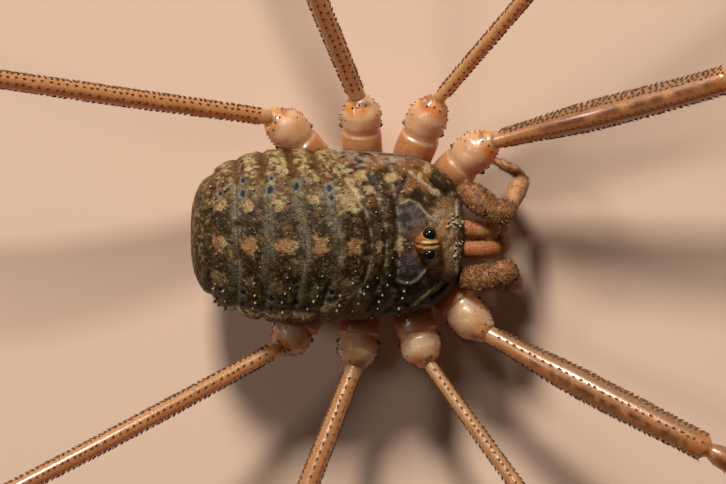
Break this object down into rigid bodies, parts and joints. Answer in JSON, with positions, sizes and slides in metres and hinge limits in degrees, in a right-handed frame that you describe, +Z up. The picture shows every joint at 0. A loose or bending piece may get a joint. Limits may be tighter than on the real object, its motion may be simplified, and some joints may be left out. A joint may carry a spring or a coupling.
{
  "type": "harvestman",
  "caption": "Life-size harvestman with a rounded, furrowed body, an eye tubercle, palps and very long thin legs, standing still on the floor",
  "frame": {"origin": "on the floor, under the centre of the bounding box", "axes": "head points along +X, the animal's left is +Y, +Z is up; the legs' soles are at z = 0"},
  "size_m": [0.0738, 0.1008, 0.0065],
  "materials": {
    "back": "dark olive brown skin with cream spots, slightly glossy",
    "limb": "tan brown, glossy, with rows of dark denticles",
    "joint": "pale pinkish tan, glossy, slightly translucent",
    "palp": "brown, glossy, with dark spinules",
    "eye": "glossy black"
  },
  "bodies": {
    "root": {"abdomen": "back", "chelicera_left_base": "palp", "chelicera_left_hand": "palp", "chelicera_right_base": "palp", "chelicera_right_hand": "palp", "eye_left": "eye", "eye_right": "eye", "eye_tubercle": "palp", "head_shield": "back", "leg1_left_femur": "limb", "leg1_left_metatarsus": "limb", "leg1_left_tarsus": "limb", "leg1_left_tibia": "limb", "leg1_left_trochanter": "joint", "leg1_right_femur": "limb", "leg1_right_metatarsus": "limb", "leg1_right_tarsus": "limb", "leg1_right_tibia": "limb", "leg1_right_trochanter": "joint", "leg2_left_femur": "limb", "leg2_left_metatarsus": "limb", "leg2_left_tarsus": "limb", "leg2_left_tibia": "limb", "leg2_left_trochanter": "joint", "leg2_right_femur": "limb", "leg2_right_metatarsus": "limb", "leg2_right_tarsus": "limb", "leg2_right_tibia": "limb", "leg2_right_trochanter": "joint", "leg3_left_femur": "limb", "leg3_left_metatarsus": "limb", "leg3_left_tarsus": "limb", "leg3_left_tibia": "limb", "leg3_left_trochanter": "joint", "leg3_right_femur": "limb", "leg3_right_metatarsus": "limb", "leg3_right_tarsus": "limb", "leg3_right_tibia": "limb", "leg3_right_trochanter": "joint", "leg4_left_femur": "limb", "leg4_left_metatarsus": "limb", "leg4_left_tarsus": "limb", "leg4_left_tibia": "limb", "leg4_left_trochanter": "joint", "leg4_right_femur": "limb", "leg4_right_metatarsus": "limb", "leg4_right_tarsus": "limb", "leg4_right_tibia": "limb", "leg4_right_trochanter": "joint", "palp_left_femur": "palp", "palp_left_patella": "palp", "palp_left_tarsus": "palp", "palp_left_tibia": "palp", "palp_right_femur": "palp", "palp_right_patella": "palp", "palp_right_tarsus": "palp", "palp_right_tibia": "palp"}
  },
  "joints": []
}
